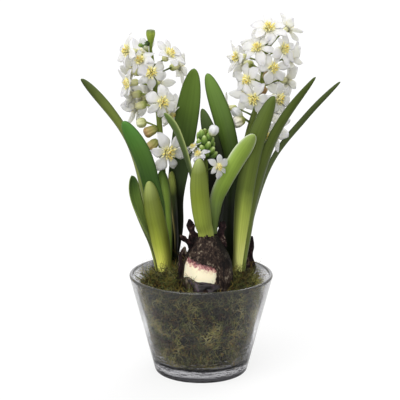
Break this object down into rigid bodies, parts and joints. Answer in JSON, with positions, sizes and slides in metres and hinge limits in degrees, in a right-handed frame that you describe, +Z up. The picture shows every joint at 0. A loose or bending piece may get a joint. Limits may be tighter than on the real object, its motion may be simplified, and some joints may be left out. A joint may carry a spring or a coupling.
{
  "type": "hyacinths in a glass vase",
  "caption": "White hyacinths with strap leaves growing from bare bulbs, set in moss in a low tapered glass vase.",
  "frame": {"origin": "centre of the flat foot of the vase, on the surface that it stands on", "axes": "+Z up the vase, -Y towards the front that shows the torn bulb, +X to the right seen from the front"},
  "size_m": [0.2684, 0.1494, 0.3717],
  "materials": {
    "glass": "clear, polished, with a faint grey tone",
    "moss": "fibrous, matt",
    "bulb_skin": "papery, dull, dark brown with a purple tone; cream flesh where it is torn",
    "leaf": "waxy, satin",
    "petal": "soft, slightly translucent, with a yellow centre and a green stem"
  },
  "bodies": {
    "root": {"vase": "glass", "moss": "moss", "bulb_left": "bulb_skin", "bulb_middle": "bulb_skin", "bulb_right": "bulb_skin", "leaf_left_front": "leaf", "leaf_left_broad": "leaf", "leaf_left_short": "leaf", "leaf_left_outer": "leaf", "leaf_left_narrow": "leaf", "leaf_left_inner": "leaf", "leaf_left_tall": "leaf", "leaf_middle_front": "leaf", "leaf_middle_right": "leaf", "leaf_middle_left": "leaf", "leaf_middle_back": "leaf", "leaf_right_front": "leaf", "leaf_right_outer": "leaf", "leaf_right_arching": "leaf", "leaf_right_tall": "leaf", "leaf_right_back": "leaf", "flower_head_left": "petal", "flower_head_middle": "petal", "flower_head_right": "petal"}
  },
  "joints": []
}
